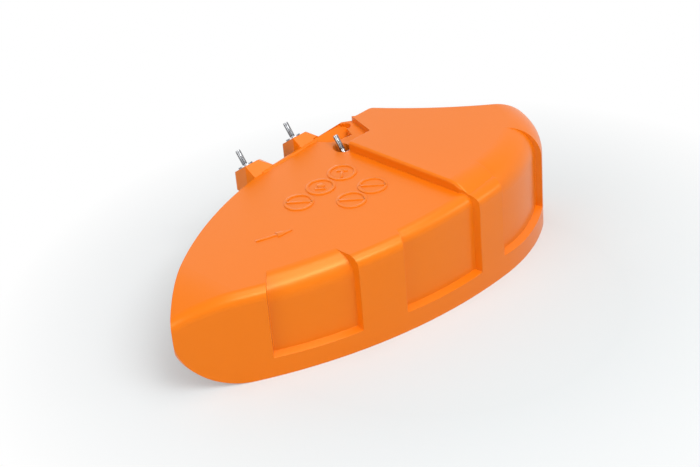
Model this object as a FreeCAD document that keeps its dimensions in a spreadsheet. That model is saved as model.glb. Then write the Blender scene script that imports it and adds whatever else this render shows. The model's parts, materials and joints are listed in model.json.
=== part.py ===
"""Blade guard for a garden trimmer: a moulded hood with its mounting screws and washers.

The hood is one moulding. Its skirt stands on the rim plane (Z = 0) and follows a wide arc in front.
Driving sizes are written about three datums: the arc's axis (X = 0), the straight back edge (Y = 0)
and the rim (Z = 0). The finished pieces are then moved so that the origin is the middle of the
base of the whole guard.
"""
import FreeCAD
import Part
import Sketcher
import math
import os

SIZES = [
    # Plan of the skirt
    ("arc_radius", 428.0),
    ("arc_centre_y", 245.0),
    ("end_arc_radius", 180.0),
    ("end_arc_start", 30.0),
    ("end_corner_radius", 90.0),
    ("side_x", 152.1),
    ("left_end_x", -264.0),
    ("left_corner_radius", 50.0),
    # Plan of the open back edge
    ("back_arc_radius", 310.0),
    ("back_arc_x", -44.0),
    ("edge_end_x", 22.0),
    ("edge_turn_x", 31.0),
    ("wing_back_y", -9.5),
    ("wing_corner_x", 51.0),
    ("wing_corner_radius", 6.0),
    ("wing_side_y", -125.0),
    ("wing_edge_radius", 435.0),
    # Roof, wing and wall
    ("wall", 3.0),
    ("roof_height", 91.0),
    ("roof_slope", 2.6),
    ("tip_bend_x", -215.0),
    ("tip_bend_radius", 96.0),
    ("wing_height", 99.5),
    ("step_x", -8.5),
    ("step_edge_radius", 2.5),
    ("notch_x", 18.5),
    ("notch_back_x", 31.0),
    ("notch_y", -39.5),
    ("notch_floor_x", 3.0),
    ("notch_floor_rise", 2.5),
    ("shoulder_radius", 10.0),
    ("tip_shoulder_radius", 3.6),
    ("wing_shoulder_radius", 30.0),
    # Recessed panels in the skirt
    ("panel_depth", 6.0),
    ("panel_sill", 16.5),
    ("panel_taper", 22.0),
    ("panel_reach", 48.0),
    ("mouth_room", 2.0),
    ("left_panel_x", -164.5),
    ("left_panel_width", 81.0),
    ("left_panel_shoulder", 19.0),
    ("middle_panel_x", -45.5),
    ("middle_panel_width", 87.0),
    ("middle_panel_shoulder", 10.0),
    ("end_panel_x", 70.0),
    ("end_panel_width", 94.0),
    ("end_panel_shoulder", 26.0),
    # Lip along the back edge
    ("lip_start_x", -78.0),
    ("lip_start_height", 0.8),
    ("lip_end_height", 2.2),
    ("lip_width", 4.0),
    ("lip_edge_radius", 1.4),
    # Mounting lugs
    ("mount_tilt", 35.0),
    ("lug_left_x", -83.9),
    ("lug_right_x", -26.3),
    ("lug_y", 11.5),
    ("lug_rise", 5.0),
    ("lug_left_side", 7.8),
    ("lug_right_side", 7.2),
    ("lug_fairing", 17.0),
    ("lug_cheek", 6.0),
    ("lug_seat_half", 10.0),
    ("lug_drop", 22.0),
    ("lug_land", 3.0),
    ("lug_root", 6.0),
    ("lug_corner_radius", 3.0),
    ("grip", 9.0),
    # Sunk seat of the third screw, where its axis meets the roof
    ("sunk_x", -8.5),
    ("sunk_y", -30.0),
    ("sunk_depth", 6.0),
    ("sunk_grip", 6.2),
    ("seat_clearance", 0.35),
    # Scoop in the roof behind that seat
    ("scoop_back_y", -1.0),
    ("scoop_left_x", -14.5),
    ("scoop_corner_x", -7.5),
    ("scoop_corner_y", -16.0),
    ("scoop_front_x", 12.0),
    ("scoop_front_y", -23.0),
    ("scoop_end_x", 19.0),
    ("scoop_end_y", -8.0),
    ("scoop_end_radius", 5.0),
    ("scoop_slope", 35.0),
    ("scoop_crest", 1.6),
    # Screws and washers
    ("screw_diameter", 5.0),
    ("shank_diameter", 4.4),
    ("thread_gap", 0.3),
    ("screw_length", 24.5),
    ("screw_point", 0.8),
    ("head_diameter", 8.5),
    ("head_height", 5.0),
    ("socket_width", 4.0),
    ("socket_depth", 2.6),
    ("hole_clearance", 0.25),
    ("head_clearance", 1.2),
    ("washer_diameter", 13.5),
    ("washer_bore", 5.4),
    ("washer_thickness", 1.4),
]

# Room that cutting solids run past the walls they cut
REACH = 150.0

doc = FreeCAD.newDocument("blade_guard")
sheet = doc.addObject("Spreadsheet::Sheet", "Sizes")
rows_used = 0


def cell(alias, content):
    """Add one named row to the sheet: its name in column A, its number or formula in column B."""
    global rows_used
    rows_used += 1
    sheet.set("A%d" % rows_used, alias)
    sheet.set("B%d" % rows_used, str(content))
    sheet.setAlias("B%d" % rows_used, alias)


def size(alias):
    """The present value of a named row."""
    value = sheet.get(alias)
    return float(getattr(value, "Value", value))


for alias, value in SIZES:
    cell(alias, value)
cell("reach", REACH)
cell("rim_z", 0)
cell("edge_y", 0)

# Centres of the end arc and of the rounded corner beside it
cell("end_dir_x", "=end_arc_start / arc_radius")
cell("end_dir_y", "=-sqrt(1 - end_dir_x ^ 2)")
cell("end_centre_x", "=(arc_radius - end_arc_radius) * end_dir_x")
cell("end_centre_y", "=arc_centre_y + (arc_radius - end_arc_radius) * end_dir_y")
cell("corner_x", "=side_x - end_corner_radius")
cell("corner_reach", "=end_arc_radius - end_corner_radius")
cell("corner_y", "=end_centre_y - sqrt(corner_reach ^ 2 - (corner_x - end_centre_x) ^ 2)")
cell("corner_dir_x", "=(corner_x - end_centre_x) / corner_reach")
cell("corner_dir_y", "=(corner_y - end_centre_y) / corner_reach")

# Corners of the skirt for the outer skin, its lining, the recessed panels and their lining
SKINS = [
    ("skin", "0", "0"),
    ("lining", "wall", "wall"),
    ("panel", "panel_depth", "0"),
    ("backing", "(panel_depth + wall)", "wall"),
]
for skin, inset, side_inset in SKINS:
    cell(skin + "_radius", "=arc_radius - " + inset)
    cell(skin + "_end_radius", "=end_arc_radius - " + inset)
    cell(skin + "_corner_radius", "=end_corner_radius - " + inset)
    cell(skin + "_step_x", "=step_x + " + side_inset)
    cell(skin + "_step_y", "=arc_centre_y - sqrt(%s_radius ^ 2 - %s_step_x ^ 2)" % (skin, skin))
    cell(skin + "_end_x", "=%s_radius * end_dir_x" % skin)
    cell(skin + "_end_y", "=arc_centre_y + %s_radius * end_dir_y" % skin)
    cell(skin + "_turn_x", "=end_centre_x + %s_end_radius * corner_dir_x" % skin)
    cell(skin + "_turn_y", "=end_centre_y + %s_end_radius * corner_dir_y" % skin)
    cell(skin + "_side_x", "=side_x - " + inset)
    cell(skin + "_wing_top", "=wing_height - " + side_inset)

# Roof profile for the outer skin and for its lining
cell("roof_rise", "=tan(roof_slope)")
cell("bend_angle", "=roof_slope + 55")
cell("roof_right_x", "=notch_back_x + wall")
for skin, inset in (("skin", "0"), ("lining", "wall")):
    cell(skin + "_bend_radius", "=tip_bend_radius - " + inset)
    cell(skin + "_bend_x", "=tip_bend_x + %s * sin(roof_slope)" % inset)
    cell(skin + "_bend_z",
         "=roof_height + (tip_bend_x - step_x) * roof_rise - %s * cos(roof_slope)" % inset)
    cell(skin + "_bend_end_x",
         "=%s_bend_x + %s_bend_radius * (sin(roof_slope) - sin(bend_angle))" % (skin, skin))
    cell(skin + "_bend_end_z",
         "=%s_bend_z + %s_bend_radius * (cos(bend_angle) - cos(roof_slope))" % (skin, skin))
    cell(skin + "_roof_end_z", "=%s_bend_z + (roof_right_x - %s_bend_x) * roof_rise" % (skin, skin))

# Notch at the wing's inner back corner, and the larger one that its lining follows
cell("notch_left_x", "=step_x - wall")
cell("notch_base_z", "=roof_height / 2")
cell("notch_floor_z", "=roof_height + (notch_floor_x - step_x) * roof_rise")
cell("notch_end_z", "=roof_height + (notch_back_x - step_x) * roof_rise + notch_floor_rise")
cell("inner_notch_y", "=notch_y - wall")
cell("inner_notch_x", "=notch_x + wall")
cell("inner_notch_back_x", "=notch_back_x + wall")
cell("inner_notch_floor_x", "=notch_floor_x + wall")
cell("inner_notch_floor_z", "=notch_floor_z - wall")
cell("inner_notch_end_z", "=notch_end_z - wall")

# Open back edge and the left end
cell("front_limit", "=arc_centre_y - arc_radius - reach")
cell("side_limit", "=side_x + wall")
cell("tip_y", "=-back_arc_radius + sqrt(back_arc_radius ^ 2 - (left_end_x - back_arc_x) ^ 2)")
cell("rim_start_x", "=left_end_x + left_corner_radius")
cell("top_limit", "=wing_height + reach")

# Panel recesses: where each one faces, and the larger recess that its lining follows
cell("recess_grow", "=wall / cos(panel_taper)")
cell("inner_sill", "=panel_sill - recess_grow")
for panel, middle, radius in (("left_panel", "left_panel_x", "arc_radius"),
                              ("middle_panel", "middle_panel_x", "arc_radius"),
                              ("end_panel", "(end_panel_x - end_centre_x)", "end_arc_radius")):
    cell(panel + "_turn", "=asin(%s / %s)" % (middle, radius))
    cell(panel + "_plane", "=-%s - mouth_room" % radius)
    cell(panel + "_to", "=%s_width / 2" % panel)
    cell(panel + "_from", "=-%s_to" % panel)
    cell(panel + "_inner_to", "=%s_to + recess_grow" % panel)
    cell(panel + "_inner_from", "=-%s_inner_to" % panel)

# Lip, lugs and screw seats
cell("tilt_sine", "=sin(mount_tilt)")
cell("tilt_cosine", "=cos(mount_tilt)")
cell("lip_start_z", "=roof_height + (lip_start_x - step_x) * roof_rise - wall / 2")
cell("lip_start_top", "=lip_start_z + wall / 2 + lip_start_height")
cell("lip_end_z", "=roof_height + (edge_end_x - step_x) * roof_rise - wall / 2")
cell("lip_end_top", "=lip_end_z + wall / 2 + lip_end_height")
cell("lug_left_z", "=roof_height + (lug_left_x - step_x) * roof_rise + lug_rise")
cell("lug_right_z", "=roof_height + (lug_right_x - step_x) * roof_rise + lug_rise")
cell("seat_front_y", "=lug_y - lug_seat_half * tilt_cosine")
cell("seat_front_z", "=lug_seat_half * tilt_sine")
cell("seat_back_y", "=lug_y + lug_seat_half * tilt_cosine")
cell("seat_back_z", "=-lug_seat_half * tilt_sine")
cell("lug_bottom_z", "=-lug_drop")
cell("lug_land_y", "=-lug_land")
cell("lug_land_z", "=-lug_rise")
cell("lug_root_y", "=-lug_root")
cell("lug_root_z", "=-lug_rise - wall / 2")
cell("lug_left_edge", "=-lug_left_side")
cell("lug_cheek_edge", "=lug_cheek - lug_left_side")
cell("lug_fairing_edge", "=lug_right_side + lug_fairing")
cell("sunk_seat_y", "=sunk_y - sunk_depth * tilt_sine")
cell("sunk_seat_z", "=roof_height + (sunk_x - step_x) * roof_rise - sunk_depth * tilt_cosine")
cell("seat_radius", "=washer_diameter / 2 + seat_clearance")

# Scoop: its sloping floor, and the larger scoop that its walls follow
cell("scoop_crest_z", "=roof_height + scoop_crest")
cell("scoop_deep_y", "=scoop_front_y - 2 * wall")
cell("scoop_deep_z", "=scoop_crest_z - (scoop_back_y - scoop_deep_y) * tan(scoop_slope)")
cell("outer_scoop_crest_z", "=scoop_crest_z - wall / cos(scoop_slope)")
cell("outer_scoop_deep_z", "=scoop_deep_z - wall / cos(scoop_slope)")
cell("outer_scoop_back_y", "=scoop_back_y + wall")
cell("outer_scoop_left_x", "=scoop_left_x - wall")
cell("outer_scoop_corner_x", "=scoop_corner_x - wall")
cell("outer_scoop_corner_y", "=scoop_corner_y - wall / 2")
cell("outer_scoop_front_x", "=scoop_front_x + wall / 2")
cell("outer_scoop_front_y", "=scoop_front_y - wall")
cell("outer_scoop_end_radius", "=scoop_end_radius + wall")

cell("stud_tip_radius", "=screw_diameter / 2 - screw_point")
cell("plain_length", "=grip + washer_thickness + thread_gap")
doc.recompute()

PLANES = {
    "XY": FreeCAD.Rotation(),
    "XZ": FreeCAD.Rotation(FreeCAD.Vector(1, 0, 0), 90),
    "YZ": FreeCAD.Rotation(FreeCAD.Vector(1, 1, 1), 120),
}


def arc_between(start, finish, radius, side):
    """The shorter arc from start to finish; side is +1 where its centre lies to the left."""
    chord = finish - start
    left = FreeCAD.Vector(-chord.y, chord.x, 0).normalize()
    sagging = math.sqrt(radius ** 2 - (chord.Length / 2) ** 2)
    centre = (start + finish) * 0.5 + left * side * sagging
    first, second = (start, finish) if side > 0 else (finish, start)
    begin = math.atan2(first.y - centre.y, first.x - centre.x)
    end = math.atan2(second.y - centre.y, second.x - centre.x)
    circle = Part.Circle(centre, FreeCAD.Vector(0, 0, 1), radius)
    return Part.ArcOfCircle(circle, begin, end)


def outline(name, plane, corners, arcs=None):
    """A closed sketch whose corners are pairs of sheet names. For a side that is an arc, arcs gives
    the name of its radius and +1 or -1 for a centre to the left or right of the way it runs."""
    arcs = arcs or {}
    sketch = doc.addObject("Sketcher::SketchObject", name)
    sketch.Placement.Rotation = PLANES[plane]
    points = [FreeCAD.Vector(size(across), size(along), 0) for across, along in corners]
    last = len(corners) - 1
    for index, start in enumerate(points):
        finish = points[0 if index == last else index + 1]
        if index in arcs:
            radius, side = arcs[index]
            sketch.addGeometry(arc_between(start, finish, size(radius), side))
        else:
            sketch.addGeometry(Part.LineSegment(start, finish))
    for index, (across, along) in enumerate(corners):
        before = last if index == 0 else index - 1
        start_point = 2 if index in arcs and arcs[index][1] < 0 else 1
        end_point = 1 if before in arcs and arcs[before][1] < 0 else 2
        joint = Sketcher.Constraint("Coincident", before, end_point, index, start_point)
        sketch.addConstraint(joint)
        for axis, value in (("DistanceX", across), ("DistanceY", along)):
            distance = Sketcher.Constraint(axis, index, start_point, size(value))
            name_constraint(sketch, distance, "%s_%d" % (axis, index), value)
    for index, (radius, side) in arcs.items():
        bend = Sketcher.Constraint("Radius", index, size(radius))
        name_constraint(sketch, bend, "Radius_%d" % index, radius)
    return sketch


def name_constraint(sketch, constraint, name, value):
    number = sketch.addConstraint(constraint)
    sketch.renameConstraint(number, name)
    sketch.setExpression("Constraints." + name, "Sizes." + value)


def extrusion(name, sketch, direction, length, both_ways=False, taper=None):
    solid = doc.addObject("Part::Extrusion", name)
    solid.Base = sketch
    solid.DirMode = "Custom"
    solid.Dir = FreeCAD.Vector(direction)
    solid.Solid = True
    solid.Symmetric = both_ways
    solid.setExpression("LengthFwd", length)
    if taper:
        solid.setExpression("TaperAngle", taper)
    return solid


def move(solid, x=None, y=None, z=None):
    for axis, value in (("x", x), ("y", y), ("z", z)):
        if value:
            solid.setExpression("Placement.Base." + axis, value)
    return solid


def turn(solid, axis, angle):
    solid.Placement.Rotation = FreeCAD.Rotation(FreeCAD.Vector(axis), 10)
    solid.setExpression("Placement.Rotation.Angle", angle)
    return solid


def cut(name, base, tool):
    result = doc.addObject("Part::Cut", name)
    result.Base = base
    result.Tool = tool
    return result


def fuse(name, solids):
    result = doc.addObject("Part::MultiFuse", name)
    result.Shapes = solids
    return result


def common(name, base, tool):
    result = doc.addObject("Part::Common", name)
    result.Base = base
    result.Tool = tool
    return result


def box(name, start, lengths):
    solid = doc.addObject("Part::Box", name)
    for side, value in zip(("Length", "Width", "Height"), lengths):
        solid.setExpression(side, value)
    return move(solid, *start)


def cylinder(name, radius, height):
    solid = doc.addObject("Part::Cylinder", name)
    solid.setExpression("Radius", radius)
    solid.setExpression("Height", height)
    return solid


def rounded(name, base, choose, radius, end_radius=None):
    """Round the edges that choose accepts. With end_radius the rounding runs out along the bend."""
    doc.recompute()
    result = doc.addObject("Part::Fillet", name)
    result.Base = base
    edges = []
    for number, edge in enumerate(base.Shape.Edges, 1):
        points = edge.discretize(7)
        if not choose(points):
            continue
        first = second = radius
        if end_radius is not None and min(point.x for point in points) < size("tip_bend_x") - 1:
            curve_start = edge.valueAt(edge.FirstParameter)
            curve_end = edge.valueAt(edge.LastParameter)
            falling = curve_start.x > curve_end.x
            first, second = (radius, end_radius) if falling else (end_radius, radius)
        edges.append((number, first, second))
    if not edges:
        raise RuntimeError(name + ": no edge to round")
    result.Edges = edges
    return result


def bevelled(name, base, choose, radius):
    """Break the edges that choose accepts with a flat that touches a rounding of that radius."""
    doc.recompute()
    result = doc.addObject("Part::Chamfer", name)
    result.Base = base
    setback = radius * (2 - math.sqrt(2))
    numbered = enumerate(base.Shape.Edges, 1)
    result.Edges = [(number, setback, setback) for number, edge in numbered if choose(edge.discretize(7))]
    return result


def left_hood(name, skin, roof, shoulder, tip_shoulder=None, flat=False):
    """The low part of the hood: the front arc under the sloping roof, with a rounded or flat shoulder."""
    drum = cylinder(name + "_drum", "Sizes.%s_radius" % skin, "Sizes.top_limit")
    move(drum, y="Sizes.arc_centre_y")
    body = common(name + "_body", drum, roof)
    radius = size(skin + "_radius")

    def choose(points):
        away = [math.hypot(point.x, point.y - size("arc_centre_y")) for point in points]
        on_arc = max(abs(value - radius) for value in away) < 0.01
        high = min(point.z for point in points) > 1
        level = max(point.z for point in points) - min(point.z for point in points) < 40
        front = max(point.y for point in points) < size("arc_centre_y")
        long = points[0].distanceToPoint(points[-1]) > 30
        return on_arc and high and level and front and long
    if flat:
        return bevelled(name, body, choose, shoulder)
    return rounded(name, body, choose, shoulder, tip_shoulder)


def right_hood(name, skin, shoulder):
    """The raised wing: the front arc, the end arc and the side wall under a level roof."""
    plan = outline(name + "_plan", "XY", [
        (skin + "_step_x", skin + "_step_y"), (skin + "_end_x", skin + "_end_y"),
        (skin + "_turn_x", skin + "_turn_y"), (skin + "_side_x", "corner_y"),
        (skin + "_side_x", "reach"), (skin + "_step_x", "reach")],
        {0: (skin + "_radius", 1), 1: (skin + "_end_radius", 1), 2: (skin + "_corner_radius", 1)})
    body = extrusion(name + "_body", plan, (0, 0, 1), "Sizes.%s_wing_top" % skin)
    top = size(skin + "_wing_top")

    def choose(points):
        at_top = min(point.z for point in points) > top - 0.01
        on_step = max(point.x for point in points) < size(skin + "_step_x") + 0.01
        on_back = min(point.y for point in points) > size("reach") - 0.01
        return at_top and not on_step and not on_back
    return rounded(name, body, choose, shoulder)


def on_step(points):
    """The wing's left edge, from the front of the skirt up and along the roof."""
    left = max(abs(point.x - size("step_x")) for point in points) < 0.01
    low = max(point.z for point in points) < 0.01
    far_back = min(point.y for point in points) > size("reach") - 0.01
    return left and not low and not far_back


def recess(name, panel, edge, sill, block):
    """The solid that leaves a recessed panel: a tapered mouth less the panel's own block."""
    mouth = outline(name + "_mouth", "XZ", [
        (panel + "_%sfrom" % edge, sill), (panel + "_%sto" % edge, sill),
        (panel + "_%sto" % edge, "top_limit"), (panel + "_%sfrom" % edge, "top_limit")])
    move(mouth, y="Sizes.%s_plane" % panel)
    sector = extrusion(name + "_sector", mouth, (0, 1, 0), "Sizes.panel_reach", taper="-Sizes.panel_taper")
    turn(sector, (0, 0, 1), "Sizes.%s_turn" % panel)
    if panel == "end_panel":
        move(sector, x="Sizes.end_centre_x", y="Sizes.end_centre_y")
    else:
        move(sector, y="Sizes.arc_centre_y")
    return cut(name, sector, block)


def roof_prism(skin):
    profile = outline(skin + "_roof_profile", "XZ", [
        ("roof_right_x", "rim_z"), ("roof_right_x", skin + "_roof_end_z"),
        (skin + "_bend_x", skin + "_bend_z"), (skin + "_bend_end_x", skin + "_bend_end_z"),
        (skin + "_bend_end_x", "rim_z")], {2: (skin + "_bend_radius", 1)})
    return extrusion(skin + "_roof", profile, (0, 1, 0), "4 * Sizes.reach", both_ways=True)


def notch_room(name, edge):
    """Room cut from the wing's inner back corner: its plan, over a floor that rises to the right."""
    plan = outline(name + "_plan", "XY", [
        ("notch_left_x", edge + "notch_y"), (edge + "notch_x", edge + "notch_y"),
        (edge + "notch_back_x", "edge_y"), (edge + "notch_back_x", "reach"), ("notch_left_x", "reach")])
    floor = outline(name + "_floor", "XZ", [
        ("notch_left_x", "notch_base_z"), (edge + "notch_floor_x", "notch_base_z"),
        (edge + "notch_floor_x", edge + "notch_floor_z"), (edge + "notch_back_x", edge + "notch_end_z"),
        (edge + "notch_back_x", "top_limit"), ("notch_left_x", "top_limit")])
    above = extrusion(name + "_above", plan, (0, 0, 1), "Sizes.top_limit")
    over = extrusion(name + "_over", floor, (0, 1, 0), "4 * Sizes.reach", both_ways=True)
    return common(name, above, over)


# Outer form of the hood
skin_roof = roof_prism("skin")
lining_roof = roof_prism("lining")
low_skin = left_hood("low_skin", "skin", skin_roof, size("shoulder_radius"), size("tip_shoulder_radius"))
sharp_skin = right_hood("sharp_skin", "skin", size("wing_shoulder_radius"))
high_skin = rounded("high_skin", sharp_skin, on_step, size("step_edge_radius"))
notch = notch_room("notch", "")
wing_skin = cut("wing_skin", high_skin, notch)
skin_form = fuse("skin_form", [low_skin, wing_skin])

# The hollow under it, one wall thickness further in
low_lining = left_hood("low_lining", "lining", lining_roof, size("shoulder_radius") - size("wall"), flat=True)
high_lining = right_hood("high_lining", "lining", size("wing_shoulder_radius") - size("wall"))
inner_notch = notch_room("inner_notch", "inner_")
wing_lining = cut("wing_lining", high_lining, inner_notch)
lining_form = fuse("lining_form", [low_lining, wing_lining])

# Recessed panels, cut from the skin and stood off in the hollow
skin_cuts = []
lining_cuts = []
for panel in ("left_panel", "middle_panel", "end_panel"):
    shoulder = size(panel + "_shoulder")
    inner_shoulder = shoulder - size("wall")
    if panel == "end_panel":
        block = right_hood(panel + "_block", "panel", shoulder)
        inner_block = right_hood(panel + "_inner_block", "backing", inner_shoulder)
    else:
        block = left_hood(panel + "_block", "panel", skin_roof, shoulder)
        inner_block = left_hood(panel + "_inner_block", "backing", lining_roof, inner_shoulder,
                                flat=panel == "middle_panel")
    skin_cuts.append(recess(panel + "_recess", panel, "", "panel_sill", block))
    lining_cuts.append(recess(panel + "_inner_recess", panel, "inner_", "inner_sill", inner_block))
outside = cut("outside", skin_form, fuse("skin_recesses", skin_cuts))
hollow = cut("hollow", lining_form, fuse("lining_recesses", lining_cuts))
moulding = cut("moulding", outside, hollow)

def on_lip_top(points):
    """The two long edges on top of the lip."""
    long = abs(points[0].x - points[-1].x) > size("edge_end_x") - size("lip_start_x") - 1
    return long and max(point.z for point in points) > size("lip_end_top") - 0.01


# Lip along the back edge
lip_profile = outline("lip_profile", "XZ", [
    ("lip_start_x", "lip_start_z"), ("edge_end_x", "lip_end_z"),
    ("edge_end_x", "lip_end_top"), ("lip_start_x", "lip_start_top")])
sharp_lip = extrusion("sharp_lip", lip_profile, (0, -1, 0), "Sizes.lip_width")
lip = rounded("lip", sharp_lip, on_lip_top, size("lip_edge_radius"))
lipped = fuse("lipped", [moulding, lip])


def on_wing_corner(points):
    corner = (size("wing_corner_x"), size("wing_back_y"))
    return max(math.hypot(point.x - corner[0], point.y - corner[1]) for point in points) < 0.01


# Trim to the open back edge in plan and to the rounded corner of the left end
back_plan = outline("back_plan", "XY", [
    ("left_end_x", "front_limit"), ("side_limit", "front_limit"), ("side_limit", "wing_side_y"),
    ("wing_corner_x", "wing_back_y"), ("edge_turn_x", "wing_back_y"), ("edge_end_x", "edge_y"),
    ("back_arc_x", "edge_y"), ("left_end_x", "tip_y")],
    {2: ("wing_edge_radius", -1), 6: ("back_arc_radius", 1)})
sharp_prism = extrusion("sharp_prism", back_plan, (0, 0, 1), "Sizes.top_limit")
back_prism = rounded("back_prism", sharp_prism, on_wing_corner, size("wing_corner_radius"))
end_profile = outline("end_profile", "XZ", [
    ("rim_start_x", "rim_z"), ("side_limit", "rim_z"), ("side_limit", "top_limit"),
    ("left_end_x", "top_limit"), ("left_end_x", "left_corner_radius")],
    {4: ("left_corner_radius", 1)})
end_prism = extrusion("end_prism", end_profile, (0, 1, 0), "6 * Sizes.reach", both_ways=True)
trim = common("trim", back_prism, end_prism)
trimmed = common("trimmed", lipped, trim)

def on_lug_back(points):
    """The upright edges at the back corners of a lug."""
    at_back = min(point.y for point in points) > size("seat_back_y") - 0.01
    upright = math.hypot(points[0].x - points[-1].x, points[0].y - points[-1].y) < 0.01
    return at_back and upright


# Lugs behind the back edge: a side view, a front view and a plan, drawn about the seat's middle
lug_side = outline("lug_side", "YZ", [
    ("lug_root_y", "lug_bottom_z"), ("seat_back_y", "lug_bottom_z"), ("seat_back_y", "seat_back_z"),
    ("seat_front_y", "seat_front_z"), ("lug_land_y", "lug_land_z"), ("lug_root_y", "lug_root_z")])
lug_front = outline("lug_front", "XZ", [
    ("lug_left_edge", "lug_bottom_z"), ("lug_fairing_edge", "lug_bottom_z"),
    ("lug_fairing_edge", "lug_root_z"), ("lug_right_side", "seat_front_z"),
    ("lug_left_edge", "seat_front_z")])
lug_plan = outline("lug_plan", "XY", [
    ("lug_cheek_edge", "lug_root_y"), ("lug_fairing_edge", "lug_root_y"),
    ("lug_fairing_edge", "seat_back_y"), ("lug_left_edge", "seat_back_y"),
    ("lug_left_edge", "seat_front_y")])
lug_side_solid = extrusion("lug_side_solid", lug_side, (1, 0, 0), "Sizes.reach", both_ways=True)
lug_front_solid = extrusion("lug_front_solid", lug_front, (0, 1, 0), "Sizes.reach", both_ways=True)
lug_plan_solid = extrusion("lug_plan_solid", lug_plan, (0, 0, 1), "Sizes.reach", both_ways=True)
lug_blank = common("lug_blank", lug_side_solid, lug_front_solid)
lug_form = common("lug_form", lug_blank, lug_plan_solid)
lug_pattern = rounded("lug_pattern", lug_form, on_lug_back, size("lug_corner_radius"))
lugs = []
for side in ("left", "right"):
    lug = doc.addObject("Part::Compound", "lug_" + side)
    lug.Links = [lug_pattern]
    lugs.append(move(lug, "Sizes.lug_%s_x" % side, None, "Sizes.lug_%s_z" % side))

SEATS = {
    "left": ("Sizes.lug_left_x", "Sizes.lug_y", "Sizes.lug_left_z"),
    "right": ("Sizes.lug_right_x", "Sizes.lug_y", "Sizes.lug_right_z"),
    "sunk": ("Sizes.sunk_x", "Sizes.sunk_seat_y", "Sizes.sunk_seat_z"),
}
GRIPS = {"left": "Sizes.grip", "right": "Sizes.grip", "sunk": "Sizes.sunk_grip"}


def at_seat(solid, seat, along="0", across="0", down="0"):
    """Stand a solid on a screw seat, offset along the screw, across to the right and back."""
    x, y, z = SEATS[seat]
    turn(solid, (1, 0, 0), "-Sizes.mount_tilt")
    back = "(%s) * Sizes.tilt_sine + (%s) * Sizes.tilt_cosine" % (along, down)
    up = "(%s) * Sizes.tilt_cosine - (%s) * Sizes.tilt_sine" % (along, down)
    return move(solid, "%s + (%s)" % (x, across), "%s + %s" % (y, back), "%s + %s" % (z, up))


def scoop_room(name, edge):
    """Room of a scoop: its plan with a rounded right end, over a floor that falls to the front."""
    plan = outline(name + "_plan", "XY", [
        (edge + "scoop_left_x", edge + "scoop_back_y"), (edge + "scoop_corner_x", edge + "scoop_corner_y"),
        (edge + "scoop_front_x", edge + "scoop_front_y"), ("scoop_end_x", "scoop_end_y"),
        ("scoop_end_x", edge + "scoop_back_y")])
    floor = outline(name + "_floor", "YZ", [
        ("scoop_deep_y", edge + "scoop_deep_z"), ("scoop_back_y", edge + "scoop_crest_z"),
        ("reach", edge + "scoop_crest_z"), ("reach", "top_limit"), ("scoop_deep_y", "top_limit")])
    prism = extrusion(name + "_prism", plan, (0, 0, 1), "Sizes.top_limit")
    end = cylinder(name + "_end", "Sizes.%sscoop_end_radius" % edge, "Sizes.top_limit")
    move(end, "Sizes.scoop_end_x", "Sizes.scoop_end_y")
    over = extrusion(name + "_over", floor, (1, 0, 0), "Sizes.reach", both_ways=True)
    return common(name, fuse(name + "_sides", [prism, end]), over)


# Sunk seat of the third screw in a boss under the roof, and the scoop behind it
boss_blank = cylinder("boss_blank", "Sizes.seat_radius + Sizes.wall", "Sizes.sunk_grip + Sizes.reach")
at_seat(boss_blank, "sunk", "-Sizes.sunk_grip")
boss = common("boss", boss_blank, low_skin)
seat_room = cylinder("seat_room", "Sizes.seat_radius", "Sizes.reach")
at_seat(seat_room, "sunk")
scoop = scoop_room("scoop", "")
outer_scoop = scoop_room("outer_scoop", "outer_")
scoop_walls = common("scoop_walls", common("scoop_blank", outer_scoop, skin_form), back_prism)
joined = fuse("joined", [trimmed, scoop_walls, boss] + lugs)

# Screw holes with room for the heads below
openings = [seat_room, scoop]
for seat, grip in GRIPS.items():
    hole = cylinder("hole_" + seat, "Sizes.screw_diameter / 2 + Sizes.hole_clearance",
                    grip + " + 2 * Sizes.wall")
    openings.append(at_seat(hole, seat, "-%s - Sizes.wall" % grip))
    bore = cylinder("head_room_" + seat, "Sizes.head_diameter / 2 + Sizes.head_clearance", "Sizes.lug_drop")
    openings.append(at_seat(bore, seat, "-%s - Sizes.lug_drop" % grip))
guard_shell = cut("guard_shell", joined, fuse("openings", openings))

# Screws with a socket in the head, and flat washers
shank = cylinder("shank", "Sizes.shank_diameter / 2", "Sizes.plain_length")
thread = cylinder("thread", "Sizes.screw_diameter / 2",
                  "Sizes.screw_length - Sizes.screw_point - Sizes.plain_length")
move(thread, z="Sizes.plain_length")
point = doc.addObject("Part::Cone", "point")
point.setExpression("Radius1", "Sizes.screw_diameter / 2")
point.setExpression("Radius2", "Sizes.stud_tip_radius")
point.setExpression("Height", "Sizes.screw_point")
move(point, z="Sizes.screw_length - Sizes.screw_point")
head = cylinder("head", "Sizes.head_diameter / 2", "Sizes.head_height")
move(head, z="-Sizes.head_height")
socket = doc.addObject("Part::Prism", "socket")
socket.Polygon = 6
socket.setExpression("Circumradius", "Sizes.socket_width / sqrt(3)")
socket.setExpression("Height", "Sizes.socket_depth")
move(socket, z="-Sizes.head_height")
screw = cut("screw", fuse("screw_blank", [shank, thread, point, head]), socket)
washer_disc = cylinder("washer_disc", "Sizes.washer_diameter / 2", "Sizes.washer_thickness")
washer_hole = cylinder("washer_hole", "Sizes.washer_bore / 2", "Sizes.washer_thickness")
washer = cut("washer", washer_disc, washer_hole)


def set_of(name, pattern, along):
    """One copy of a small part on every screw seat, held together as one node."""
    copies = []
    for seat in SEATS:
        copy = doc.addObject("Part::Compound", "%s_%s" % (name, seat))
        copy.Links = [pattern]
        copies.append(at_seat(copy, seat, along[seat]))
    result = doc.addObject("Part::Compound", name)
    result.Links = copies
    return result


mounting_screws = set_of("mounting_screws", screw, {seat: "-" + grip for seat, grip in GRIPS.items()})
flat_washers = set_of("flat_washers", washer, {seat: "0" for seat in SEATS})

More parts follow.
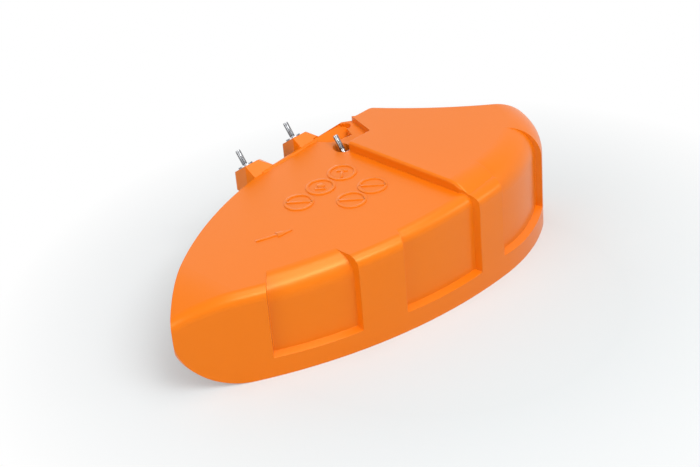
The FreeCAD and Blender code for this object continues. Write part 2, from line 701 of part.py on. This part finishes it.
# Measure the middle of the base and move every finished piece onto it
nodes = [guard_shell, mounting_screws, flat_washers]
doc.recompute()
boxes = [node.Shape.optimalBoundingBox() for node in nodes]
cell("base_x", (min(part.XMin for part in boxes) + max(part.XMax for part in boxes)) / 2)
cell("base_y", (min(part.YMin for part in boxes) + max(part.YMax for part in boxes)) / 2)
doc.recompute()
for node in nodes:
    move(node, "-Sizes.base_x", "-Sizes.base_y")
doc.recompute()

# Check everything and write the pieces
for item in doc.Objects:
    if "Invalid" in item.State or "Error" in item.State:
        raise RuntimeError(item.Label + " did not build")
os.makedirs("parts", exist_ok=True)
for node in nodes:
    if node.Shape.isNull() or not node.Shape.isValid():
        raise RuntimeError(node.Label + " has no valid shape")
    node.Shape.exportStep("parts/%s.step" % node.Label)
    bounds = node.Shape.optimalBoundingBox()
    print(node.Label, len(node.Shape.Solids), "solids", round(node.Shape.Volume), "mm3",
          [round(value, 2) for value in (bounds.XMin, bounds.YMin, bounds.ZMin)],
          [round(value, 2) for value in (bounds.XMax, bounds.YMax, bounds.ZMax)])
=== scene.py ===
"""Looks of the trimmer blade guard: orange plastic, plated screws and washers, raised roof marks."""
import json
import math

import bpy
from mathutils import Matrix, Vector


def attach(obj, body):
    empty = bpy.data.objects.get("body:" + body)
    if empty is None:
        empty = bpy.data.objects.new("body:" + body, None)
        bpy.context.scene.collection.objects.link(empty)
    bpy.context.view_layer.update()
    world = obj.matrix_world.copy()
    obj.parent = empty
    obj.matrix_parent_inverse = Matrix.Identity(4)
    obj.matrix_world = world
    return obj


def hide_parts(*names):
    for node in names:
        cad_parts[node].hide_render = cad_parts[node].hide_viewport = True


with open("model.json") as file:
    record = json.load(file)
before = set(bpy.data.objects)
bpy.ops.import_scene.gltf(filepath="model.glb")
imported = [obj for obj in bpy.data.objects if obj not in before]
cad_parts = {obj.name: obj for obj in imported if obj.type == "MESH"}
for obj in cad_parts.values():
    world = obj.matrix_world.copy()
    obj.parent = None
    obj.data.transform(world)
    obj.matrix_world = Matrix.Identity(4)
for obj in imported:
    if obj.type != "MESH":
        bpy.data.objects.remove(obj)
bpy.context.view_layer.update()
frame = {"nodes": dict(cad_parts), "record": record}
scene = bpy.context.scene
scene.view_settings.view_transform = "Standard"

MM = 0.001
WHITE = (1.0, 1.0, 1.0, 1.0)
UPWARD = (0.0, 0.0, 1.0)

# Finishes; the edges of the plastic are shaded as if rounded by SHADED_EDGE
ORANGE_COLOUR = (0.745, 0.157, 0.002, 1.0)
ORANGE_DEEP = (0.725, 0.15, 0.0015, 1.0)
ORANGE_SHINE = (1.0, 0.95, 0.4, 1.0)
ORANGE_ROUGHNESS = 0.315
SHADED_EDGE = 0.5 * MM
SCREW_COLOUR = (0.3, 0.305, 0.315, 1.0)
SCREW_ROUGHNESS = 0.21
WASHER_COLOUR = (0.28, 0.285, 0.3, 1.0)
WASHER_ROUGHNESS = 0.34
GLOSS_SPREAD = 0.03

# Edges of new pieces: those over EDGE_ANGLE are softened, those under SMOOTH_ANGLE are shaded smooth
EDGE_ANGLE = math.radians(40.0)
EDGE_SEGMENTS = 2
SMOOTH_ANGLE = math.radians(30.0)

# Roof plane of the low part of the hood, in the frame of the CAD
ROOF_X = 51.23 * MM
ROOF_Z = 91.0 * MM
ROOF_SLOPE = math.radians(2.6)

# Raised marks on the roof: height above it, depth sunk into it, softening of the edges
MARK_RISE = 0.7 * MM
MARK_ROOT = 0.6 * MM
MARK_HEIGHT = MARK_RISE + MARK_ROOT
MARK_SOFT = 0.15 * MM

# Ringed marks, by the middles of their rings on the roof
RING_MIDDLES = {
    "mark_first": Vector((-34.9, 16.6)) * MM,
    "mark_second": Vector((-6.8, 18.9)) * MM,
    "mark_third": Vector((20.6, 20.3)) * MM,
    "mark_fourth": Vector((19.6, -16.4)) * MM,
    "mark_fifth": Vector((-7.1, -17.7)) * MM,
}
RING_OUTER = 12.9 * MM
RING_INNER = 10.2 * MM
RING_SIDES = 64

# Motifs in the rings, placed from the middle of their ring
BAR_TURN = math.radians(-50.0)
CROSS_TURN = BAR_TURN + math.radians(90.0)
BAR_WIDTH = 2.2 * MM
LONG_BAR = 23.0 * MM
CROSSED_BAR = 10.0 * MM
SHORT_BAR = 9.0 * MM
DOT_RADIUS = 3.4 * MM
DOT_SIDES = 32
CENTRE = Vector((0.0, 0.0))
DOT_PLACE = Vector((1.6, 1.3)) * MM
SHORT_BAR_PLACE = Vector((-2.6, -2.0)) * MM
UPPER_BAR_PLACE = Vector((2.0, 1.8)) * MM
LOWER_BAR_PLACE = Vector((-2.7, -2.4)) * MM

# Arrow on the roof
ARROW_TURN = math.radians(-23.3)
ARROW_SHAFT_PLACE = Vector((-88.8, -0.6)) * MM
ARROW_SHAFT_LENGTH = 19.0 * MM
ARROW_SHAFT_WIDTH = 2.4 * MM
ARROW_HEAD_PLACE = Vector((-76.6, -5.9)) * MM
ARROW_HEAD_LENGTH = 13.8 * MM
ARROW_HEAD_WIDTH = 8.1 * MM
ARROW_HEAD_SIDES = 3

# Screws: the mounts give each thread's middle, direction, radius and length
STUDS = frame["record"]["mounts"]
THREAD_RADIUS = STUDS[0]["dims"]["r_mm"] * MM
THREAD_HALF = STUDS[0]["dims"]["length_mm"] * MM / 2
THREAD_PITCH = 0.8 * MM
THREAD_TURNS = 15
THREAD_DEPTH = 0.25 * MM
RIDGE_DEPTH = 0.38 * MM
RIDGE_HALF = 0.36 * MM
RIDGE_SIDES = 4
RIDGE_STEPS = 24
MERGE_DISTANCE = 0.001 * MM
POINT_LENGTH = 0.65 * MM
POINT_SOFT = 0.5 * MM
ROD_SIDES = 32
SHANK_RADIUS = 2.2 * MM
SHANK_LENGTH = 10.7 * MM
SHANK_SOFT = 0.15 * MM
SHANK_IN_HEAD = 1.0 * MM
SHANK_IN_THREAD = 0.2 * MM
HEAD_RADIUS = 4.25 * MM
HEAD_HEIGHT = 5.0 * MM
HEAD_SOFT = 0.4 * MM

# Socket in a screw's head, its width across the flats
SOCKET_WIDTH = 4.0 * MM
SOCKET_DEPTH = 2.6 * MM
SOCKET_SIDES = 6

# Floor, in metres: its grey diffuse shows round the object as a painted shade halo and fades to white
# between the two distances
FLOOR_SIZE = 12.0
# Grey of the painted shade halo, also the floor's colour for bounced light; a little cool to offset the
# orange light bounced onto it
FLOOR_HALO_GREY = (0.62, 0.652, 0.66, 1.0)
# Middle of the painted shade halo, a little in front of the guard
SHADE_HALO_MIDDLE = (0.02, -0.08, 0.0)
FADE_START = 0.16
FADE_END = 0.38
NEAR_WHITE = 0.12

# Strength of the even light from all round
WORLD_GLOW = 0.32

# Camera as in the photograph; lens and sensor in millimetres, the near and far limits in metres
CAMERA_AZIMUTH = math.radians(-43.5)
CAMERA_ELEVATION = math.radians(30.5)
CAMERA_ROLL = math.radians(5.0)
CAMERA_DISTANCE = 1445.0 * MM
CAMERA_TARGET = Vector((3.53, -0.99, 45.0)) * MM
CAMERA_LENS = 87.43
SENSOR_WIDTH = 36.0
CLIP_NEAR = 0.05
CLIP_FAR = 50.0


# Helpers for materials
def node(tree, kind, **inputs):
    """Add a node and set its inputs by name; spaces in a name are written as underscores."""
    made = tree.nodes.new(kind)
    for name, value in inputs.items():
        made.inputs[name.replace("_", " ")].default_value = value
    return made


def math_node(tree, operation, first, second):
    """Work out one value from two sockets."""
    made = tree.nodes.new("ShaderNodeMath")
    made.operation = operation
    tree.links.new(first, made.inputs[0])
    tree.links.new(second, made.inputs[1])
    return made.outputs[0]


def noise(tree, scale, detail, breakup):
    """Noise on the piece's own coordinates, from nought to one."""
    place = tree.nodes.new("ShaderNodeTexCoord")
    cloud = node(tree, "ShaderNodeTexNoise", Scale=scale, Detail=detail, Roughness=breakup)
    tree.links.new(place.outputs["Object"], cloud.inputs["Vector"])
    return cloud.outputs["Fac"]


def uneven_gloss_group():
    """Roughness that wanders a little as a noise does, for every finish."""
    group = bpy.data.node_groups.new("Uneven Gloss", "ShaderNodeTree")
    for name in ("Noise", "Roughness", "Spread"):
        group.interface.new_socket(name=name, in_out="INPUT", socket_type="NodeSocketFloat")
    group.interface.new_socket(name="Roughness", in_out="OUTPUT", socket_type="NodeSocketFloat")
    given = group.nodes.new("NodeGroupInput")
    result = group.nodes.new("NodeGroupOutput")
    drift = group.nodes.new("ShaderNodeMapRange")
    lowest = math_node(group, "SUBTRACT", given.outputs["Roughness"], given.outputs["Spread"])
    highest = math_node(group, "ADD", given.outputs["Roughness"], given.outputs["Spread"])
    group.links.new(given.outputs["Noise"], drift.inputs["Value"])
    group.links.new(lowest, drift.inputs["To Min"])
    group.links.new(highest, drift.inputs["To Max"])
    group.links.new(drift.outputs["Result"], result.inputs["Roughness"])
    return group


uneven_gloss = uneven_gloss_group()


def new_finish(name):
    """Add a material and give it back with its tree and its shader."""
    material = bpy.data.materials.new(name)
    material.use_nodes = True
    tree = material.node_tree
    return material, tree, tree.nodes["Principled BSDF"]


def set_gloss(tree, shader, roughness, pattern):
    """Give a shader an uneven gloss about roughness."""
    gloss = tree.nodes.new("ShaderNodeGroup")
    gloss.node_tree = uneven_gloss
    gloss.inputs["Roughness"].default_value = roughness
    gloss.inputs["Spread"].default_value = GLOSS_SPREAD
    tree.links.new(pattern, gloss.inputs["Noise"])
    tree.links.new(gloss.outputs["Roughness"], shader.inputs["Roughness"])


def guard_plastic():
    """Moulded orange plastic: soft tone drift, uneven gloss, a fine grain and edges that look rounded."""
    material, tree, shader = new_finish("guard_orange")
    shader.inputs["Specular Tint"].default_value = ORANGE_SHINE

    # A mix of colours has its two inputs at 6 and 7 and its output at 2
    tone = tree.nodes.new("ShaderNodeMix")
    tone.data_type = "RGBA"
    tone.inputs[6].default_value = ORANGE_COLOUR
    tone.inputs[7].default_value = ORANGE_DEEP
    tree.links.new(noise(tree, scale=9.0, detail=2.0, breakup=0.5), tone.inputs["Factor"])
    tree.links.new(tone.outputs[2], shader.inputs["Base Color"])

    set_gloss(tree, shader, ORANGE_ROUGHNESS, noise(tree, scale=40.0, detail=3.0, breakup=0.6))

    rounded = node(tree, "ShaderNodeBevel", Radius=SHADED_EDGE)
    rounded.samples = 6
    grain = node(tree, "ShaderNodeBump", Strength=0.05, Distance=0.2 * MM)
    tree.links.new(rounded.outputs["Normal"], grain.inputs["Normal"])
    tree.links.new(noise(tree, scale=1400.0, detail=2.0, breakup=0.5), grain.inputs["Height"])
    tree.links.new(grain.outputs["Normal"], shader.inputs["Normal"])
    return material


def plated_steel(name, colour, roughness):
    """Plated steel with a slightly uneven gloss."""
    material, tree, shader = new_finish(name)
    shader.inputs["Base Color"].default_value = colour
    shader.inputs["Metallic"].default_value = 1.0
    set_gloss(tree, shader, roughness, noise(tree, scale=600.0, detail=2.0, breakup=0.5))
    return material


def dress(piece, material):
    """Give a piece one material."""
    piece.data.materials.clear()
    piece.data.materials.append(material)


orange = guard_plastic()
screw_steel = plated_steel("plated_screw", SCREW_COLOUR, SCREW_ROUGHNESS)
washer_steel = plated_steel("plated_washer", WASHER_COLOUR, WASHER_ROUGHNESS)
dress(frame["nodes"]["guard_shell"], orange)
dress(frame["nodes"]["flat_washers"], washer_steel)


# Helpers for new pieces
def cylinder(sides, radius, height, ends="NGON"):
    """Start a piece as an upright cylinder about the origin."""
    bpy.ops.object.select_all(action="DESELECT")
    bpy.ops.mesh.primitive_cylinder_add(vertices=sides, radius=radius, depth=height, end_fill_type=ends)
    return bpy.context.object


def pick(piece):
    """Select this piece alone and make it the active one."""
    bpy.ops.object.select_all(action="DESELECT")
    piece.select_set(True)
    bpy.context.view_layer.objects.active = piece


def settle(piece, place):
    """Let the mesh of a piece take its place, so that the object stays at the origin, unturned."""
    pick(piece)
    piece.matrix_world = place
    bpy.ops.object.transform_apply(location=True, rotation=True, scale=True)


def soften(piece, width):
    """Round the sharp edges of the active piece."""
    edge = piece.modifiers.new("edge", "BEVEL")
    edge.width = width
    edge.segments = EDGE_SEGMENTS
    edge.limit_method = "ANGLE"
    edge.angle_limit = EDGE_ANGLE
    bpy.ops.object.modifier_apply(modifier="edge")


def copy_at(pattern, place):
    """Copy a pattern with a mesh of its own and settle the copy."""
    piece = pattern.copy()
    piece.data = pattern.data.copy()
    scene.collection.objects.link(piece)
    settle(piece, place)
    return piece


def join(pieces):
    """Make one piece of several."""
    bpy.ops.object.select_all(action="DESELECT")
    for piece in pieces:
        piece.select_set(True)
    bpy.context.view_layer.objects.active = pieces[0]
    bpy.ops.object.join()
    return bpy.context.object


def gather(name, pieces, material):
    """Make one piece of several, in one material, moving with the guard."""
    whole = join(pieces)
    whole.name = name
    whole.data.name = name
    bpy.ops.object.shade_smooth_by_angle(angle=SMOOTH_ANGLE)
    dress(whole, material)
    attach(whole, "root")
    return whole


# Raised marks: each pattern is modelled once, flat about the origin, and laid on the roof as copies
def ring_pattern():
    """Ring whose wall grows inwards from its outer side."""
    piece = cylinder(RING_SIDES, RING_OUTER, MARK_HEIGHT, ends="NOTHING")
    wall = piece.modifiers.new("wall", "SOLIDIFY")
    wall.thickness = RING_OUTER - RING_INNER
    wall.offset = -1.0
    bpy.ops.object.modifier_apply(modifier="wall")
    soften(piece, MARK_SOFT)
    return piece


def bar_pattern(length, width):
    """Bar along x."""
    bpy.ops.object.select_all(action="DESELECT")
    bpy.ops.mesh.primitive_cube_add(size=1.0)
    piece = bpy.context.object
    settle(piece, Matrix.Diagonal((length, width, MARK_HEIGHT, 1.0)))
    soften(piece, MARK_SOFT)
    return piece


def dot_pattern():
    """Round dot."""
    piece = cylinder(DOT_SIDES, DOT_RADIUS, MARK_HEIGHT)
    soften(piece, MARK_SOFT)
    return piece


def head_pattern():
    """Three sided head of the arrow, its point along x, stretched from a triangle of radius 1."""
    piece = cylinder(ARROW_HEAD_SIDES, 1.0, MARK_HEIGHT)
    length = 1.0 + math.cos(math.pi / ARROW_HEAD_SIDES)
    width = 2.0 * math.sin(math.pi / ARROW_HEAD_SIDES)
    stretch = Matrix.Diagonal((ARROW_HEAD_WIDTH / width, ARROW_HEAD_LENGTH / length, 1.0, 1.0))
    settle(piece, Matrix.Rotation(-math.pi / 2, 4, "Z") @ stretch)
    soften(piece, MARK_SOFT)
    return piece


def lay_on_roof(pattern, place, turn=0.0):
    """Turn a copy of a pattern in its own plane and lay it on the sloping roof."""
    middle = (MARK_RISE - MARK_ROOT) / 2
    height = ROOF_Z + (place.x - ROOF_X) * math.tan(ROOF_SLOPE) + middle
    tilt = Matrix.Rotation(-ROOF_SLOPE, 4, "Y") @ Matrix.Rotation(turn, 4, "Z")
    return copy_at(pattern, Matrix.Translation((place.x, place.y, height)) @ tilt)


def lay_marks():
    """The five ringed marks and the arrow."""
    ring = ring_pattern()
    dot = dot_pattern()
    long_bar = bar_pattern(LONG_BAR, BAR_WIDTH)
    crossed_bar = bar_pattern(CROSSED_BAR, BAR_WIDTH)
    short_bar = bar_pattern(SHORT_BAR, BAR_WIDTH)
    shaft = bar_pattern(ARROW_SHAFT_LENGTH, ARROW_SHAFT_WIDTH)
    head = head_pattern()
    slash = [(long_bar, CENTRE, BAR_TURN)]
    motifs = {
        "mark_first": slash,
        "mark_second": [(dot, DOT_PLACE, 0.0), (short_bar, SHORT_BAR_PLACE, BAR_TURN)],
        "mark_third": [(crossed_bar, UPPER_BAR_PLACE, BAR_TURN),
                       (crossed_bar, LOWER_BAR_PLACE, CROSS_TURN)],
        "mark_fourth": slash,
        "mark_fifth": slash,
    }
    for name, middle in RING_MIDDLES.items():
        pieces = [lay_on_roof(ring, middle)]
        for pattern, place, turn in motifs[name]:
            pieces.append(lay_on_roof(pattern, middle + place, turn))
        gather(name, pieces, orange)
    arrow = [lay_on_roof(shaft, ARROW_SHAFT_PLACE, ARROW_TURN),
             lay_on_roof(head, ARROW_HEAD_PLACE, ARROW_TURN)]
    gather("turn_arrow", arrow, orange)
    for pattern in (ring, dot, long_bar, crossed_bar, short_bar, shaft, head):
        bpy.data.objects.remove(pattern)


lay_marks()


# Threaded screws: one is modelled upright round the middle of its thread, and copied to each stud
def rod(radius, low, high, soft):
    """Round bar along a screw, its end edges softened."""
    piece = cylinder(ROD_SIDES, radius, high - low)
    settle(piece, Matrix.Translation((0.0, 0.0, (low + high) / 2)))
    soften(piece, soft)
    return piece


def ridge():
    """Ridge of the thread: a small diamond carried round and along the screw, its two ends closed."""
    bpy.ops.object.select_all(action="DESELECT")
    bpy.ops.mesh.primitive_circle_add(vertices=RIDGE_SIDES, radius=1.0, fill_type="NOTHING")
    piece = bpy.context.object
    start = Matrix.Translation((THREAD_RADIUS - RIDGE_DEPTH, 0.0, -THREAD_TURNS * THREAD_PITCH / 2))
    stretch = Matrix.Diagonal((RIDGE_DEPTH, RIDGE_HALF, 1.0, 1.0))
    settle(piece, start @ Matrix.Rotation(math.pi / 2, 4, "X") @ stretch)
    coil = piece.modifiers.new("coil", "SCREW")
    coil.axis = "Z"
    coil.angle = 2 * math.pi
    coil.screw_offset = THREAD_PITCH
    coil.iterations = THREAD_TURNS
    coil.steps = RIDGE_STEPS
    coil.render_steps = RIDGE_STEPS
    bpy.ops.object.modifier_apply(modifier="coil")
    bpy.ops.object.mode_set(mode="EDIT")
    bpy.ops.mesh.select_all(action="SELECT")
    bpy.ops.mesh.remove_doubles(threshold=MERGE_DISTANCE)
    bpy.ops.mesh.fill_holes(sides=RIDGE_SIDES)
    bpy.ops.mesh.select_all(action="SELECT")
    bpy.ops.mesh.normals_make_consistent(inside=False)
    bpy.ops.object.mode_set(mode="OBJECT")
    return piece


def cap_head(low, high):
    """Round head with a six sided socket in its low end."""
    piece = rod(HEAD_RADIUS, low, high, HEAD_SOFT)
    corner_radius = SOCKET_WIDTH / 2 / math.cos(math.pi / SOCKET_SIDES)
    tool = cylinder(SOCKET_SIDES, corner_radius, 2 * SOCKET_DEPTH)
    settle(tool, Matrix.Translation((0.0, 0.0, low)))
    pick(piece)
    recess = piece.modifiers.new("recess", "BOOLEAN")
    recess.operation = "DIFFERENCE"
    recess.object = tool
    bpy.ops.object.modifier_apply(modifier="recess")
    bpy.data.objects.remove(tool)
    return piece


def screw_pattern():
    """Thread, ridge, shank and head of one screw."""
    collar = -THREAD_HALF - SHANK_LENGTH
    return join([
        rod(THREAD_RADIUS - THREAD_DEPTH, -THREAD_HALF, THREAD_HALF + POINT_LENGTH, POINT_SOFT),
        ridge(),
        rod(SHANK_RADIUS, collar - SHANK_IN_HEAD, SHANK_IN_THREAD - THREAD_HALF, SHANK_SOFT),
        cap_head(collar - HEAD_HEIGHT, collar),
    ])


def at_stud(stud):
    """Place of a screw: leaned along the stud, at the middle of its thread."""
    lean = Vector(UPWARD).rotation_difference(Vector(stud["axis"])).to_matrix().to_4x4()
    return Matrix.Translation(stud["pos_m"]) @ lean


screw = screw_pattern()
screws = gather("threaded_screws", [copy_at(screw, at_stud(stud)) for stud in STUDS],
                screw_steel)
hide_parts("mounting_screws")
bpy.data.objects.remove(screw)


# Floor and studio light
def shown_white(tree):
    """One for what the camera, a reflection or glass shows, nought for the rest of the light."""
    path = tree.nodes.new("ShaderNodeLightPath")
    seen = math_node(tree, "MAXIMUM", path.outputs["Is Camera Ray"], path.outputs["Is Glossy Ray"])
    return math_node(tree, "MAXIMUM", seen, path.outputs["Is Transmission Ray"])


def mix_to(output, tree, share, first, second):
    """Mix two shaders, with this share of the second, into the output."""
    mix = tree.nodes.new("ShaderNodeMixShader")
    tree.links.new(share, mix.inputs["Fac"])
    tree.links.new(first.outputs[0], mix.inputs[1])
    tree.links.new(second.outputs[0], mix.inputs[2])
    tree.links.new(mix.outputs[0], output.inputs["Surface"])


def floor_material():
    """Grey floor with a painted shade halo round the object that fades to white farther out; it keeps its
    real shadow.
    """
    material = bpy.data.materials.new("pale_floor")
    material.use_nodes = True
    tree = material.node_tree
    tree.nodes.clear()
    output = tree.nodes.new("ShaderNodeOutputMaterial")
    grey_diffuse = node(tree, "ShaderNodeBsdfDiffuse", Color=FLOOR_HALO_GREY)
    white = node(tree, "ShaderNodeEmission", Color=WHITE, Strength=1.0)
    place = tree.nodes.new("ShaderNodeTexCoord")
    away = tree.nodes.new("ShaderNodeVectorMath")
    away.operation = "DISTANCE"
    away.inputs[1].default_value = SHADE_HALO_MIDDLE
    # Near the middle the camera sees mostly the grey diffuse, a painted shade halo round the object
    fade = node(tree, "ShaderNodeMapRange", From_Min=FADE_START, From_Max=FADE_END,
                To_Min=NEAR_WHITE, To_Max=1.0)
    tree.links.new(place.outputs["Object"], away.inputs[0])
    tree.links.new(away.outputs["Value"], fade.inputs["Value"])
    share = math_node(tree, "MULTIPLY", shown_white(tree), fade.outputs["Result"])
    mix_to(output, tree, share, grey_diffuse, white)
    return material


def lay_floor():
    """Floor under the guard, part of the stage only."""
    bpy.ops.object.select_all(action="DESELECT")
    bpy.ops.mesh.primitive_plane_add(size=FLOOR_SIZE)
    floor = bpy.context.object
    floor.name = "floor"
    floor.data.materials.append(floor_material())


def studio_world():
    """White for the camera and for reflections, a softer even light for the rest."""
    world = bpy.data.worlds.new("studio")
    scene.world = world
    world.use_nodes = True
    tree = world.node_tree
    tree.nodes.clear()
    output = tree.nodes.new("ShaderNodeOutputWorld")
    white = node(tree, "ShaderNodeBackground", Color=WHITE, Strength=1.0)
    soft = node(tree, "ShaderNodeBackground", Color=WHITE, Strength=WORLD_GLOW)
    mix_to(output, tree, shown_white(tree), soft, white)


def softbox(name, place, aim, width, length, along, power):
    """Rectangular lamp that faces aim; its length runs along the given direction."""
    data = bpy.data.lights.new(name, "AREA")
    data.shape = "RECTANGLE"
    data.size = width
    data.size_y = length
    data.energy = power
    lamp = bpy.data.objects.new(name, data)
    scene.collection.objects.link(lamp)
    back = (Vector(place) - Vector(aim)).normalized()
    right = Vector(along).cross(back).normalized()
    upright = back.cross(right)
    lamp.matrix_world = Matrix.Translation(place) @ Matrix((right, upright, back)).transposed().to_4x4()


lay_floor()
studio_world()

# Lamps, placed in metres, their power in watts
softbox("top", place=(0.1, -0.5, 1.42), aim=(0.0, 0.0, 0.05),
        width=0.75, length=1.4, along=(0.39, 0.92, 0.0), power=13.0)
softbox("front", place=(-0.15, -1.2, 1.33), aim=(0.0, 0.0, 0.08),
        width=0.24, length=1.2, along=(1.0, 0.0, 0.0), power=12.5)
softbox("back", place=(0.8, 1.5, 0.4), aim=(0.0, 0.0, 0.08),
        width=0.8, length=0.6, along=UPWARD, power=3.0)
softbox("fill", place=(-1.75, -0.05, 0.6), aim=(0.0, 0.0, 0.05),
        width=1.0, length=0.8, along=UPWARD, power=13.5)
softbox("side", place=(1.0, -1.25, 0.74), aim=(0.0, 0.0, 0.09),
        width=0.4, length=0.4, along=UPWARD, power=3.0)


def photo_camera():
    """Camera that looks at its target from the photograph's side, rolled a little."""
    data = bpy.data.cameras.new("photo_camera")
    data.sensor_width = SENSOR_WIDTH
    data.lens = CAMERA_LENS
    data.clip_start = CLIP_NEAR
    data.clip_end = CLIP_FAR
    camera = bpy.data.objects.new("photo_camera", data)
    scene.collection.objects.link(camera)
    back = Vector((math.sin(CAMERA_AZIMUTH) * math.cos(CAMERA_ELEVATION),
                   -math.cos(CAMERA_AZIMUTH) * math.cos(CAMERA_ELEVATION),
                   math.sin(CAMERA_ELEVATION)))
    level = Vector((math.cos(CAMERA_AZIMUTH), math.sin(CAMERA_AZIMUTH), 0.0))
    upright = back.cross(level)
    right = level * math.cos(CAMERA_ROLL) - upright * math.sin(CAMERA_ROLL)
    up = upright * math.cos(CAMERA_ROLL) + level * math.sin(CAMERA_ROLL)
    turned = Matrix((right, up, back)).transposed().to_4x4()
    camera.matrix_world = Matrix.Translation(CAMERA_TARGET + back * CAMERA_DISTANCE) @ turned
    scene.camera = camera


photo_camera()
